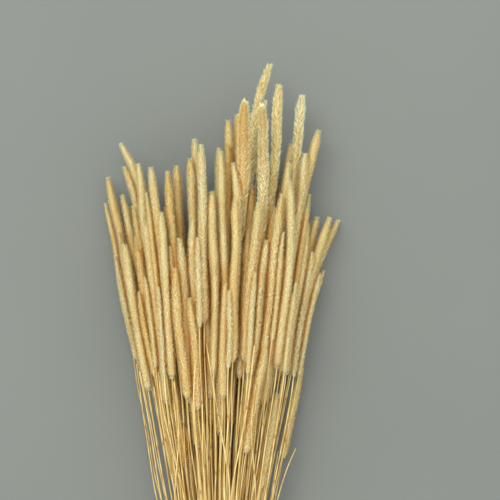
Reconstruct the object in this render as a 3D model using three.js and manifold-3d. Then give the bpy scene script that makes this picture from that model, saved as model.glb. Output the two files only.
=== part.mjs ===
// A tied bundle of dried timothy grass, lying on a table. Millimetres.
// +Y runs along the bundle, from the cut ends to the seed heads, +X goes across it and +Z is up.
// The bundle is laid out with the middle of its tie at y = 0 and the table at z = 0, and is then
// moved so that the origin is the middle of its footprint.
//
// A stalk is one grown piece: a straw stem that runs on into a long cylindrical seed head.
// Two neighbours that the tie presses together make one node, a pair of stalks.

import * as THREE from "three";
import { mergeVertices } from "three/addons/utils/BufferGeometryUtils.js";
import Module from "manifold-3d";

const wasm = await Module();
wasm.setup();

// The stalks.
const PAIRS = 59;
const STEM_RADIUS = 0.8;
const HEAD_RADIUS = 3.3;
const HEAD_RADIUS_SPREAD = 0.35;
const HEAD_LENGTH = 120;
const HEAD_LENGTH_SPREAD = 26;
const HEAD_SHOULDER = 7; // how fast a head swells above its stem
const HEAD_POINT = 10; // how long its rounded tip is
const POINT_SHARE = 0.92; // how much of its radius a head has where the tip begins
const TIP_RADIUS = 1.1;
const SIDES = 5; // flat side down
const GAP = 0.3; // clear space kept between any two pieces

// The bundle.
const SHANK = 182; // from the tie to the cut ends
const SHANK_SPREAD = 5;
const CROWN_REACH = 352; // from the tie to the tips of the ordinary heads
const CROWN_DOME = 26; // how much further the heads reach at the crown's high side
const CROWN_HIGH_SIDE = 38; // where across the bundle that is
const CROWN_DOME_WIDTH = 42;
const CROWN_FALL = 62; // how far a head may stop short of the crown
const FAN_SLOPE = 0.196; // half the fan's width gained for each millimetre beyond the tie
const FAN_HEIGHT = 58; // the pile of heads, from the table to its top
const FAN_SETTLE = 185; // where the stalks reach the pile's full height
const FOOT_SLOPE = 0.085;
const FOOT_HEIGHT = 36;
const WAIST_HEIGHT = 23; // middle of the tie above the table
const WANDER = 3; // how far a stalk strays from its place in the fan by its tip
const BOW = 4; // and how far it bows on the way

// The tie, an elastic band wound round the waist.
const TIE_WIDTH = 9;
const TIE_THICKNESS = 2.2;
const TIE_ROUNDING = 0.7;
const TIE_SIDES = 18;
const TIE_MARGIN = 3.5; // the stems run straight and parallel this far beyond its edges

// How the stalks are laid out and kept clear of each other.
const LAYER_WEIGHT = 0.3;
const TRADE_WORTH = 1e-6;
const STATION_STEP = 68;
const BETWEEN = [0.25, 0.5, 0.75]; // shares of the way between two stations, looked at as well
const CROOK_LENGTH = 62; // a crooked head bends over this much of its end
const CROOK_SEEN = 4; // and one that bends less has no rings of its own for it
const SETTLING_ROUNDS = 420;
const LAST_ROUNDS = 120;

// Stalks with a place of their own, seen from above: where the tip lies across the fan, from -1 to 1,
// and how far beyond the ordinary crown, the head's length, its layer in the pile from -1 (lowest) to
// 1 (top), and, for a crooked one, how far the end bends across and up. A last number above 1 makes
// a head that much stouter.
const PLACED = [
  [-0.93, 16, 130, 0.6, -3],
  [-0.78, 39, 118, 0.2, -17],
  [-0.74, 23, 104, -0.1, -10],
  [-0.62, 24, 120, 0.5],
  [-0.54, 21, 122, 0.7],
  [-0.86, 3, 108, -0.2, -4],
  [-0.72, -6, 104, 0.4],
  [-0.38, 18, 124, 0.6, -2],
  [-0.33, 23, 112, 0, 1],
  [-0.43, 8, 104, -0.3],
  [-0.22, 27, 122, 0.3],
  [-0.18, 42, 132, 0.1, -2],
  [-0.1, 36, 124, 0.5],
  [-0.01, 31, 116, 0.6],
  [0.03, 35, 120, 0.2],
  [0.05, 55, 112, 0, -1],
  [0.12, 38, 108, 0.4, -2],
  [0.14, 59, 118, -0.2, -4],
  [0.21, 63, 96, 0.5, -2, 34, 1.4],
  [0.36, 94, 142, 0, 10],
  [0.41, 79, 126, 0.3, -1],
  [0.34, 61, 100, 0.6, -8, 27, 1.25],
  [0.62, 72, 150, 0.1, -1],
  [0.76, 49, 140, 0.3, 7],
  [0.56, 39, 108, -0.2, 2],
  [0.49, 35, 110, -0.3, 1],
  [0.65, 23, 100, -0.5],
  [0.7, 32, 146, 0.8, -3],
  [0.89, -13, 100, 0.1, 2],
  [0.99, -13, 98, 0.4, 6],
  [1.1, -15, 92, 0.9, 12],
  [0.56, 24, 122, 0.7, -2],
  [0.55, 11, 130, 0.9, -7],
  [0.69, 3, 120, 0.9],
  [0.8, -17, 108, 1],
  [0.15, 24, 118, 0.8, -9],
  [0.15, -2, 112, 1],
  [0.23, -22, 104, 1],
  [0.33, -4, 110, 1, 1],
  [0.52, 2, 128, 1],
  [0.5, -8, 112, 0.9, 5],
  [0.46, -29, 122, 1],
  [0.66, -41, 104, 1, 1],
  [0.55, -105, 72, 1, 3],
  [0.65, -136, 68, 0.7],
  [-0.8, -88, 114, 0.8, -3],
  [1.02, -120, 66, 0.3, 1],
  [0.07, -59, 80, 0.9],
  [-0.06, 4, 130, 1],
  [-0.31, -69, 78, 1],
  [-0.4, -49, 90, 1],
  [-0.47, -10, 116, 1],
  [-0.61, -16, 128, 1],
  [-0.77, -35, 92, 0.9],
  [-0.87, -32, 104, 1],
  [-0.94, -23, 100, 0.7],
];

const STRAW = new THREE.MeshStandardMaterial({
  color: new THREE.Color(0.8, 0.66, 0.4),
  roughness: 0.85,
  metalness: 0,
});
const BAND = new THREE.MeshStandardMaterial({
  color: new THREE.Color(0.74, 0.6, 0.4),
  roughness: 0.6,
  metalness: 0,
});

// A repeatable source of numbers from 0 to 1.
function seeded(seed) {
  let state = seed;
  return () => {
    state = (state + 0x6d2b79f5) | 0;
    let mixed = Math.imul(state ^ (state >>> 15), 1 | state);
    mixed = (mixed + Math.imul(mixed ^ (mixed >>> 7), 61 | mixed)) ^ mixed;
    return ((mixed ^ (mixed >>> 14)) >>> 0) / 4294967296;
  };
}
const random = seeded(7);
const spread = (width) => (random() * 2 - 1) * width;

// The waist: stems packed as closely as they go, in rows, filled from the middle outwards.
const PITCH = 2 * STEM_RADIUS + GAP;
const ROW = (PITCH * Math.sqrt(3)) / 2;

function waistPairs() {
  const reach = Math.ceil(Math.sqrt(PAIRS));
  const places = [];
  for (let row = -reach; row <= reach; row++) {
    const shift = row % 2 ? PITCH / 2 : 0;
    for (let column = -reach; column <= reach; column++) {
      places.push({ x: column * 2 * PITCH + shift, z: row * ROW });
    }
  }
  const fromMiddle = (place) => Math.hypot(place.x, place.z);
  return places.sort((a, b) => fromMiddle(a) - fromMiddle(b)).slice(0, PAIRS);
}

const pairs = waistPairs();
const slots = pairs.flatMap(({ x, z }, pair) => [
  { pair, x: x - PITCH / 2, z },
  { pair, x: x + PITCH / 2, z },
]);
const slotRadius = Math.max(...slots.map((slot) => Math.hypot(slot.x, slot.z)));
const waistRadius = slotRadius + STEM_RADIUS;
const grip = TIE_WIDTH / 2 + TIE_MARGIN;

// The fan's half width at y, and a crown that is highest to one side of the middle.
const fanHalfWidth = (y) => waistRadius + (y > 0 ? FAN_SLOPE * y : -FOOT_SLOPE * y);

function crownReach(across) {
  const offside = (across - CROWN_HIGH_SIDE) / CROWN_DOME_WIDTH;
  return CROWN_REACH + CROWN_DOME * Math.exp(-offside * offside);
}

// How far a slot lies from a placed stalk's way through the waist. Being off to the side counts
// for more than being too high or too low. An ordinary stalk suits any slot.
function miss({ x, z }, placed) {
  if (!placed) return 0;
  const [u, , , layer] = placed;
  const w = layer * Math.sqrt(Math.max(0, 1 - u * u));
  return (x / slotRadius - u) ** 2 + LAYER_WEIGHT * (z / slotRadius - w) ** 2;
}

// Gives the placed stalks the first slots, and then trades slots until no trade brings them nearer.
function placedBySlot() {
  const holders = slots.map((_, i) => PLACED[i]);
  let traded = true;
  while (traded) {
    traded = false;
    for (let i = 0; i < slots.length; i++) {
      for (let j = i + 1; j < slots.length; j++) {
        const now = miss(slots[i], holders[i]) + miss(slots[j], holders[j]);
        const then = miss(slots[i], holders[j]) + miss(slots[j], holders[i]);
        if (then >= now - TRADE_WORTH) continue;
        [holders[i], holders[j]] = [holders[j], holders[i]];
        traded = true;
      }
    }
  }
  return holders;
}

function grow(slot, placed) {
  const u = slot.x / slotRadius;
  const w = slot.z / slotRadius;
  const fan = fanHalfWidth(CROWN_REACH);
  const [place, beyond, length, , crookAcross = 0, crookUp = 0, stout = 1] = placed ?? [
    u + spread(WANDER) / fan,
    crownReach(u * fan) - random() * CROWN_FALL - CROWN_REACH,
    HEAD_LENGTH + spread(HEAD_LENGTH_SPREAD),
    w,
    spread(WANDER),
  ];
  const tip = CROWN_REACH + beyond;
  return {
    slot,
    across: place * fanHalfWidth(tip),
    tip,
    base: tip - length,
    foot: -SHANK + spread(SHANK_SPREAD),
    chord: Math.sqrt(Math.max(0, 1 - u * u)),
    layer: w,
    crookAcross,
    crookUp,
    headRadius: (HEAD_RADIUS + spread(HEAD_RADIUS_SPREAD)) * stout,
    bowAcross: spread(BOW),
    bowUp: spread(BOW / 2),
  };
}

const holders = placedBySlot();
const stalks = slots.map((slot, i) => grow(slot, holders[i]));

// Stations along the bundle, where the stalks' places are worked out.
const furthest = Math.max(...stalks.map((stalk) => stalk.tip));
const stations = [-SHANK - SHANK_SPREAD, -SHANK / 2, -grip, grip];
while (stations.at(-1) < furthest) {
  stations.push(stations.at(-1) + STATION_STEP);
}
const gripped = (y) => Math.abs(y) <= grip;

const smooth = (t) => {
  const s = Math.min(1, Math.max(0, t));
  return s * s * (3 - 2 * s);
};

// How much of its crook a stalk has at y: none before its end, and all of it at the tip.
const bendAt = (stalk, y) => Math.min(1, Math.max(0, 1 - (stalk.tip - y) / CROOK_LENGTH)) ** 2;

// Where a stalk would lie at y if it had the bundle to itself: it fans out from the waist, and
// settles into a pile that is flat where it rests on the table.
function naturalPlace(stalk, y) {
  const { slot } = stalk;
  if (gripped(y)) return { x: slot.x, z: WAIST_HEIGHT + slot.z };
  const ahead = y > 0;
  const share = (Math.abs(y) - grip) / ((ahead ? stalk.tip : SHANK) - grip);
  const end = ahead ? stalk.across - stalk.crookAcross : (slot.x / slotRadius) * fanHalfWidth(-SHANK);
  const settled = smooth((Math.abs(y) - grip) / (ahead ? FAN_SETTLE : SHANK));
  const rest = ahead ? stalk.headRadius : STEM_RADIUS;
  const pile = (ahead ? FAN_HEIGHT : FOOT_HEIGHT) / 2 - rest;
  const height = rest + (stalk.layer + stalk.chord) * pile;
  const bow = ahead ? Math.sin(Math.PI * Math.min(1, share)) : 0;
  const bend = bendAt(stalk, y);
  const x = THREE.MathUtils.lerp(slot.x, end, share);
  const z = THREE.MathUtils.lerp(WAIST_HEIGHT + slot.z, height, settled);
  return {
    x: x + bow * stalk.bowAcross + bend * stalk.crookAcross,
    z: z + bow * stalk.bowUp + bend * stalk.crookUp,
  };
}

// A stalk's widest radius within reach of y, and 0 where the stalk has ended.
function radiusNear(stalk, y, reach) {
  if (y > stalk.tip + STATION_STEP) return 0;
  const inHead = y > stalk.base - reach && y < stalk.tip + reach;
  return inHead && !gripped(y) ? stalk.headRadius : STEM_RADIUS;
}

const FLAT = Math.cos(Math.PI / SIDES); // a flat side lies this share of the radius from the middle

// Pushes apart the stalks that meet at one place along the bundle. A place holds each stalk's
// middle there, and move(stalk number, dx, dz) shifts it.
function separate(places, radii, move) {
  for (let i = 0; i < places.length; i++) {
    if (!radii[i]) continue;
    for (let j = i + 1; j < places.length; j++) {
      if (!radii[j]) continue;
      const need = radii[i] + radii[j] + GAP;
      const dx = places[j].x - places[i].x;
      const dz = places[j].z - places[i].z;
      const apart = Math.hypot(dx, dz) || GAP;
      if (apart >= need) continue;
      const push = (need - apart) / 2 / apart;
      move(i, -dx * push, -dz * push);
      move(j, dx * push, dz * push);
    }
  }
}

// A stalk's middle at a share of the way from station k to the next, where rows holds every stalk's
// middle at each station: straight, but for its crook.
function between(rows, stalk, number, k, share) {
  const from = rows[k][number];
  const to = rows[k + 1][number];
  const y = THREE.MathUtils.lerp(stations[k], stations[k + 1], share);
  const straight = THREE.MathUtils.lerp(bendAt(stalk, stations[k]), bendAt(stalk, stations[k + 1]), share);
  const bend = bendAt(stalk, y) - straight;
  return {
    x: THREE.MathUtils.lerp(from.x, to.x, share) + bend * stalk.crookAcross,
    z: THREE.MathUtils.lerp(from.z, to.z, share) + bend * stalk.crookUp,
  };
}

// Lets the whole bundle settle: each stalk eases towards its natural line and stays smooth along its
// length, but no stalk may enter another or the table.
function settle() {
  const natural = stations.map((y) => stalks.map((stalk) => naturalPlace(stalk, y)));
  const places = natural.map((row) => row.map((place) => ({ ...place })));
  const stationRadii = stations.map((y) => stalks.map((s) => radiusNear(s, y, STATION_STEP / 2)));
  const fixed = stations.map(gripped);
  const checks = stations.slice(1).flatMap((end, k) =>
    BETWEEN.filter(() => !(fixed[k] && fixed[k + 1])).map((share) => {
      const y = THREE.MathUtils.lerp(stations[k], end, share);
      return { k, share, radii: stalks.map((s) => radiusNear(s, y, STATION_STEP / 8)) };
    }),
  );

  const easeAndSmooth = () => {
    const strays = places.map((row, k) =>
      row.map((place, i) => ({ x: place.x - natural[k][i].x, z: place.z - natural[k][i].z })),
    );
    stations.forEach((_, k) => {
      if (fixed[k]) return;
      const before = strays[Math.max(0, k - 1)];
      const after = strays[Math.min(stations.length - 1, k + 1)];
      places[k].forEach((place, i) => {
        for (const axis of ["x", "z"]) {
          const even = (before[i][axis] + after[i][axis]) / 2;
          place[axis] = natural[k][i][axis] + 0.8 * strays[k][i][axis] + 0.19 * even;
        }
      });
    });
  };

  const keepClear = () => {
    stations.forEach((_, k) => {
      if (fixed[k]) return;
      const row = places[k];
      separate(row, stationRadii[k], (i, dx, dz) => {
        row[i].x += dx;
        row[i].z += dz;
      });
    });
    for (const { k, share, radii } of checks) {
      const middles = stalks.map((stalk, i) => between(places, stalk, i, k, share));
      const whole = (1 - share) ** 2 + share ** 2;
      separate(middles, radii, (i, dx, dz) => {
        for (const [end, part] of [
          [k, (1 - share) / whole],
          [k + 1, share / whole],
        ]) {
          if (fixed[end]) continue;
          places[end][i].x += dx * part;
          places[end][i].z += dz * part;
        }
      });
    }
    stations.forEach((_, k) => {
      places[k].forEach((place, i) => {
        place.z = Math.max(place.z, stationRadii[k][i] * FLAT);
      });
    });
  };

  for (let round = 0; round < SETTLING_ROUNDS; round++) {
    easeAndSmooth();
    keepClear();
  }
  for (let round = 0; round < LAST_ROUNDS; round++) {
    keepClear();
  }
  return places;
}

const settled = settle();

// The middle of a stalk at any y.
function middleAt(stalk, number, y) {
  const next = Math.max(1, stations.findIndex((station) => station >= y - 1e-9));
  const [start, end] = [stations[next - 1], stations[next]];
  return between(settled, stalk, number, next - 1, (y - start) / (end - start));
}

// A stalk turned on a lathe as a straight rod with a thick head, then leaned ring by ring to follow
// its middle line.
function stalkGeometry(stalk, number) {
  const { foot, base, tip, headRadius } = stalk;
  const rings = [
    [foot, STEM_RADIUS],
    [base, STEM_RADIUS],
    [base + HEAD_SHOULDER, headRadius],
    [tip - HEAD_POINT, headRadius * POINT_SHARE],
    [tip, TIP_RADIUS],
  ];
  if (Math.hypot(stalk.crookAcross, stalk.crookUp) > CROOK_SEEN) {
    rings.push([tip - CROOK_LENGTH, headRadius], [tip - CROOK_LENGTH / 2, headRadius]);
  }
  for (const y of stations) {
    const inStem = y > foot && y < base;
    const inHead = y > base + HEAD_SHOULDER && y < tip - HEAD_POINT;
    if (inStem || inHead) rings.push([y, inHead ? headRadius : STEM_RADIUS]);
  }
  rings.sort((a, b) => a[0] - b[0]);
  const profile = [[foot, 0], ...rings, [tip, 0]].map(([y, radius]) => new THREE.Vector2(radius, y));
  const geometry = new THREE.LatheGeometry(profile, SIDES);
  const position = geometry.getAttribute("position");
  for (let i = 0; i < position.count; i++) {
    const middle = middleAt(stalk, number, position.getY(i));
    position.setX(i, position.getX(i) + middle.x);
    position.setZ(i, position.getZ(i) + middle.z);
  }
  return geometry;
}

// The contact between the two stems of a pair under the tie, as a thin web from stem to stem.
function contactGeometry({ x, z }) {
  return new THREE.BoxGeometry(PITCH, TIE_WIDTH / 2, STEM_RADIUS / 2).translate(x, 0, WAIST_HEIGHT + z);
}

function solidFrom(geometry) {
  geometry.deleteAttribute("normal");
  geometry.deleteAttribute("uv");
  const merged = mergeVertices(geometry, 1e-4);
  return new wasm.Manifold(
    new wasm.Mesh({
      numProp: 3,
      vertProperties: merged.getAttribute("position").array,
      triVerts: new Uint32Array(merged.index.array),
    }),
  );
}

function geometryFrom(solid) {
  const mesh = solid.getMesh();
  const geometry = new THREE.BufferGeometry();
  geometry.setAttribute("position", new THREE.BufferAttribute(mesh.vertProperties, 3));
  geometry.setIndex(new THREE.BufferAttribute(mesh.triVerts, 1));
  geometry.computeVertexNormals();
  return geometry;
}

function stalkPair(pair, number) {
  const [left, right] = [2 * number, 2 * number + 1].map((i) => solidFrom(stalkGeometry(stalks[i], i)));
  const joined = left.add(right).add(solidFrom(contactGeometry(pair)));
  const mesh = new THREE.Mesh(geometryFrom(joined), STRAW);
  mesh.name = `stalk_pair_${String(number + 1).padStart(2, "0")}`;
  return mesh;
}

// The elastic band as a ring with rounded edges, clear of the stems inside it.
function tieBand() {
  const inner = (waistRadius + GAP) / Math.cos(Math.PI / TIE_SIDES);
  const outer = inner + TIE_THICKNESS;
  const half = TIE_WIDTH / 2;
  const profile = [
    [inner, -half],
    [outer - TIE_ROUNDING, -half],
    [outer, -half + TIE_ROUNDING],
    [outer, half - TIE_ROUNDING],
    [outer - TIE_ROUNDING, half],
    [inner, half],
    [inner, -half],
  ].map(([radius, y]) => new THREE.Vector2(radius, y));
  const mesh = new THREE.Mesh(new THREE.LatheGeometry(profile, TIE_SIDES), BAND);
  mesh.position.z = WAIST_HEIGHT;
  mesh.name = "tie_band";
  return mesh;
}

const bundle = new THREE.Group();
bundle.add(tieBand());
pairs.forEach((pair, number) => bundle.add(stalkPair(pair, number)));

// The origin goes to the middle of the footprint, on the table.
const box = new THREE.Box3().setFromObject(bundle, true);
const middle = box.getCenter(new THREE.Vector3());
bundle.position.set(-middle.x, -middle.y, -box.min.z);

export default bundle;
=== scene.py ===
# %% [markdown]
# # A bundle of dried timothy grass
# Timothy is a meadow grass. Each stalk is a thin straw stem that ends in a seed head: a long
# cylinder packed with hundreds of tiny pointed husks, which make it look like velvet from afar.
# This bundle lies on a table, and an elastic band holds it at the waist.
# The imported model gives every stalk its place, as plain rods. This lesson gives the stalks their
# real surface, fills the bundle with the slender stalks that a real one has, and winds the band.

# %% Load the frame
import math
import bmesh
import bpy
import numpy as np
from mathutils import Matrix, Vector


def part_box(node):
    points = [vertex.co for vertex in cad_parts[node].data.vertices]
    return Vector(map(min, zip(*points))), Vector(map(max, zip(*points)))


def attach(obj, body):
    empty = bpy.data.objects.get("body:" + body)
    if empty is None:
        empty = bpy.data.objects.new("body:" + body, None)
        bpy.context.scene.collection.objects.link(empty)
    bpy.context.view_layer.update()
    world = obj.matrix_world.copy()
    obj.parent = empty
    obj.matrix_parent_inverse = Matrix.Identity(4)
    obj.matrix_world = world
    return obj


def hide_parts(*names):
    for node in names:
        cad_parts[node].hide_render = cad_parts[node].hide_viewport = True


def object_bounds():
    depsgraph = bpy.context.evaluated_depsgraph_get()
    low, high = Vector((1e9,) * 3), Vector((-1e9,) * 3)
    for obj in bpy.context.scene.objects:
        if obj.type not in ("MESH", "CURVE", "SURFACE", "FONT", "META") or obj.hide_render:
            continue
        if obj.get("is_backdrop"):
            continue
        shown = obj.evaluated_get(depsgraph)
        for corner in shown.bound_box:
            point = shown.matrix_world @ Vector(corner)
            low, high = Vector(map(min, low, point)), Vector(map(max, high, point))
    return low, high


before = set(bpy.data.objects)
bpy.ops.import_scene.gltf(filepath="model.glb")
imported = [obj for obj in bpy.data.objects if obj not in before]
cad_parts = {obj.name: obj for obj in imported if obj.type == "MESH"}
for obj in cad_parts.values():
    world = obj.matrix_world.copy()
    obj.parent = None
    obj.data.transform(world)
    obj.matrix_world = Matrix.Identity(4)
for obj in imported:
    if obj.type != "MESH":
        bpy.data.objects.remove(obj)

MM = 0.001
cad_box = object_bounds()
tie_low, tie_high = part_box("tie_band")
TIE = (tie_low + tie_high) / 2
pair_names = sorted(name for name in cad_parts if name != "tie_band")
print("pairs of stalks:", len(pair_names), "- middle of the tie:", [round(c, 4) for c in TIE])

# %% [markdown]
# ## The camera
# The camera looks straight down on the lying bundle, with the seed heads at the top of the picture,
# so the fan is seen as it would be if the bundle stood upright in front of us. A long lens keeps
# the stalks from spreading apart with perspective. It is placed from the tie and from the width of
# table that it should take in, so it follows the model.

# %% Camera
LENS, SENSOR = 100, 36  # millimetres
VIEW_WIDTH = 350 * MM
VIEW_ACROSS = 22 * MM  # middle of the view, beside the tie
VIEW_BEYOND = 315 * MM  # and beyond it, towards the tips
PILE_MIDDLE = 30 * MM
camera_data = bpy.data.cameras.new("camera")
camera_data.lens = LENS
camera_data.sensor_width = SENSOR
camera = bpy.data.objects.new("camera", camera_data)
camera_height = PILE_MIDDLE + VIEW_WIDTH * LENS / SENSOR
camera.location = (TIE.x + VIEW_ACROSS, TIE.y + VIEW_BEYOND, camera_height)
bpy.context.scene.collection.objects.link(camera)
bpy.context.scene.camera = camera
print("camera height:", round(camera_height, 3), "m")

# %% [markdown]
# ## Small helpers for materials
# A material in Blender is a graph of nodes. These helpers add a node, set its values and link it,
# so that each material below reads as a short list of steps.


# %% Material helpers
def new_material(name):
    """An empty node material: its tree and its Principled shader."""
    material = bpy.data.materials.new(name)
    material.use_nodes = True
    tree = material.node_tree
    shader = tree.nodes["Principled BSDF"]
    return material, tree, shader


def add(tree, kind, inputs=None, **settings):
    """A node with its settings and inputs. An input is a value or another node's output."""
    node = tree.nodes.new(kind)
    for key, value in settings.items():
        setattr(node, key, value)
    for key, value in (inputs or {}).items():
        if isinstance(value, bpy.types.NodeSocket):
            tree.links.new(value, node.inputs[key])
        else:
            node.inputs[key].default_value = value
    return node


def ramp(tree, factor, stops):
    """A colour ramp through (place, (r, g, b)) stops."""
    node = add(tree, "ShaderNodeValToRGB", {"Fac": factor})
    elements = node.color_ramp.elements
    while len(elements) < len(stops):
        elements.new(0.5)
    for element, (place, colour) in zip(elements, stops):
        element.position = place
        element.color = (*colour, 1)
    return node.outputs["Color"]


def blend_colours(tree, kind, factor, first, second):
    """Two colours mixed, multiplied or otherwise blended."""
    node = add(tree, "ShaderNodeMix", data_type="RGBA", blend_type=kind)
    for socket, value in ((0, factor), (6, first), (7, second)):
        if isinstance(value, bpy.types.NodeSocket):
            tree.links.new(value, node.inputs[socket])
        else:
            node.inputs[socket].default_value = value
    return node.outputs[2]


def multiplied(tree, first, second):
    return blend_colours(tree, "MULTIPLY", 1.0, first, second)


def attribute(tree, name):
    """A number that the mesh carries at each of its corners."""
    return add(tree, "ShaderNodeAttribute", attribute_name=name).outputs["Fac"]


def stretched_noise(tree, scale, detail, stretch):
    """Cloudy noise in object space, stretched by dividing its scale along some axes."""
    place = add(tree, "ShaderNodeTexCoord").outputs["Object"]
    mapped = add(tree, "ShaderNodeMapping", {"Vector": place, "Scale": stretch}).outputs["Vector"]
    noise = add(tree, "ShaderNodeTexNoise", {"Vector": mapped, "Scale": scale, "Detail": detail})
    return noise.outputs["Fac"]


def painted_gap_shade(tree, distance, stops):
    """Painted shade: colours by how much open air a spot has before it: 0 is deep in a gap, 1 is in the open.
    """
    open_air = add(tree, "ShaderNodeAmbientOcclusion", {"Distance": distance}, samples=4)
    return ramp(tree, open_air.outputs["AO"], stops)


print("helpers for materials are ready")


# %% [markdown]
# ## The table
# A plain pale table top, wide enough to reach past every view. One flat face is enough, because a
# table has no shape of its own here.

# %% Table
TABLE_SIZE = 40.0
table_mesh = bpy.data.meshes.new("table_top")
bm = bmesh.new()
bmesh.ops.create_grid(bm, x_segments=1, y_segments=1, size=TABLE_SIZE / 2)
bm.to_mesh(table_mesh)
bm.free()
table = bpy.data.objects.new("table_top", table_mesh)
bpy.context.scene.collection.objects.link(table)
table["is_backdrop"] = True

table_paint, tree, shader = new_material("pale_table")
cloud = stretched_noise(tree, 3.0, 3.0, (1, 1, 1))
tone = ramp(tree, cloud, [(0.3, (0.168, 0.185, 0.176)), (0.7, (0.184, 0.201, 0.191))])
tree.links.new(tone, shader.inputs["Base Color"])
shader.inputs["Roughness"].default_value = 0.9
shader.inputs["Specular IOR Level"].default_value = 0.2
table_mesh.materials.append(table_paint)
print("table:", TABLE_SIZE, "m square")

# %% [markdown]
# ## The light
# Soft studio light: a broad lamp high on the left and towards the tips is the key, one straight
# above reaches down between the heads, so that the gaps glow golden, a weak one on the right fills
# the shadows, and a pale sky does the rest. Small lamps would give hard black shadows between the
# heads. Broad ones give the soft-edged shading that shows how round each head is.


# %% Lights
def lamp(name, place, size, power, colour):
    """A square area lamp that faces the middle of the heads."""
    data = bpy.data.lights.new(name, "AREA")
    data.size = size
    data.energy = power
    data.color = colour
    light = bpy.data.objects.new(name, data)
    light.location = place
    aim = Vector((TIE.x, TIE.y + VIEW_BEYOND, PILE_MIDDLE)) - Vector(place)
    light.rotation_mode = "QUATERNION"
    light.rotation_quaternion = aim.to_track_quat("-Z", "Y")
    bpy.context.scene.collection.objects.link(light)


# name, place and size in metres, power in watts, colour
lamp("key_light", (-0.9, 1.0, 1.7), 1.1, 21, (0.99, 1.0, 0.96))
lamp("top_light", (-0.1, 0.6, 2.0), 1.0, 15, (1.0, 0.99, 0.96))
lamp("fill_light", (1.3, -0.3, 1.4), 1.8, 7, (0.96, 0.98, 1.0))
world = bpy.data.worlds.new("studio")
world.use_nodes = True
sky = world.node_tree.nodes["Background"]
sky.inputs["Color"].default_value = (1.0, 0.97, 0.91, 1)
sky.inputs["Strength"].default_value = 0.92
bpy.context.scene.world = world
bpy.context.scene.view_settings.view_transform = "Standard"  # keeps the pale straw tones as they are
print("lights: a key, a top light, a fill and a pale sky")

# %% [markdown]
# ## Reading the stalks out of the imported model
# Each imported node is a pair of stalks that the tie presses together, as plain five-sided rods. To
# follow them, a copy of the node is merged into one mesh and cut in two at the tie. Each loose
# island that is left is half a stalk, and each level of it is a ring, whose middle and radius say
# where the stalk runs and how thick it is there.

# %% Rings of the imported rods
CLEAR_OF_TIE = 5 * MM
RING_GAP = 0.02 * MM  # corners closer than this along the bundle belong to one ring
THICK = 1.6 * MM  # a ring wider than this is in the seed head
MERGE = 0.001 * MM  # corners this close are one


def islands_of(bm):
    """The corners of each loose island of a mesh."""
    seen = set()
    islands = []
    for start in bm.verts:
        if start in seen:
            continue
        seen.add(start)
        island = [start]
        for corner in island:
            for edge in corner.link_edges:
                other = edge.other_vert(corner)
                if other not in seen:
                    seen.add(other)
                    island.append(other)
        islands.append(np.array([corner.co for corner in island]))
    return islands


def rings_of(corners):
    """Rows of (x, y, z, radius), one for each ring, sorted along the bundle."""
    corners = corners[np.argsort(corners[:, 1], kind="stable")]
    starts = np.flatnonzero(np.diff(corners[:, 1]) > RING_GAP) + 1
    rows = []
    for level in np.split(corners, starts):
        middle = level.mean(axis=0)
        radius = np.linalg.norm(level - middle, axis=1).max()
        rows.append([*middle, radius])
    return np.array(rows)


def stalks_of(node):
    """The rings of both stalks of a pair, from the cut end to the tip."""
    bm = bmesh.new()
    bm.from_mesh(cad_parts[node].data)
    bmesh.ops.remove_doubles(bm, verts=bm.verts, dist=MERGE)
    across = [edge for edge in bm.edges if (edge.verts[0].co.y > TIE.y) != (edge.verts[1].co.y > TIE.y)]
    bmesh.ops.delete(bm, geom=across, context="EDGES")
    near = [corner for corner in bm.verts if abs(corner.co.y - TIE.y) < CLEAR_OF_TIE]
    bmesh.ops.delete(bm, geom=near, context="VERTS")
    halves = [rings_of(corners) for corners in islands_of(bm)]
    bm.free()
    lower = [rings for rings in halves if rings[-1, 1] < TIE.y]
    upper = sorted((rings for rings in halves if rings[0, 1] > TIE.y), key=lambda rings: rings[0, 0])
    found = []
    for above in upper:
        below = min(lower, key=lambda rings: np.linalg.norm(rings[-1, [0, 2]] - above[0, [0, 2]]))
        found.append(np.concatenate([below, above]))
    return found


rings_by_pair = {name: stalks_of(name) for name in pair_names}
counts = [len(stalks) for stalks in rings_by_pair.values()]
print("stalks found:", sum(counts), "- in each pair:", sorted(set(counts)))

# %% [markdown]
# ## A smooth line for each stalk
# A packed rod is straight from ring to ring, but grass bends smoothly. A Blender curve could be
# drawn through the rings, but the husks need to know where they are along it. So each rod's middle
# line is sampled every millimetre and eased with a sliding average, and the stem gets a slight
# wander of its own. At each sample there is also a small frame: along the stalk, to its side, and up.

# %% Smooth middle lines
STEP = 1 * MM
EASE = 11  # samples to one spread of the sliding average
EASE_REACH = 3 * EASE
WANDER = 0.7 * MM
WANDER_STARTS = 70 * MM  # the tie holds the stems straight near it
WAVE_LENGTHS = (60 * MM, 140 * MM)
kernel = np.exp(-0.5 * (np.arange(-EASE_REACH, EASE_REACH + 1) / EASE) ** 2)
kernel /= kernel.sum()
rng = np.random.default_rng(17)


def eased(values):
    """A sliding average that keeps both ends where they are."""
    before = 2 * values[0] - values[EASE_REACH:0:-1]
    after = 2 * values[-1] - values[-2 : -EASE_REACH - 2 : -1]
    return np.convolve(np.concatenate([before, values, after]), kernel, "valid")


def wander(y):
    """A slow sideways drift, none at the tie."""
    free = np.clip(np.abs(y - TIE.y) / WANDER_STARTS, 0, 1) ** 2
    wave, phase = rng.uniform(*WAVE_LENGTHS), rng.uniform(0, 2 * math.pi)
    return free * WANDER * rng.uniform(0.3, 1.0) * np.sin(2 * math.pi * y / wave + phase)


def unit(rows):
    return rows / np.linalg.norm(rows, axis=1)[:, None]


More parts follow.
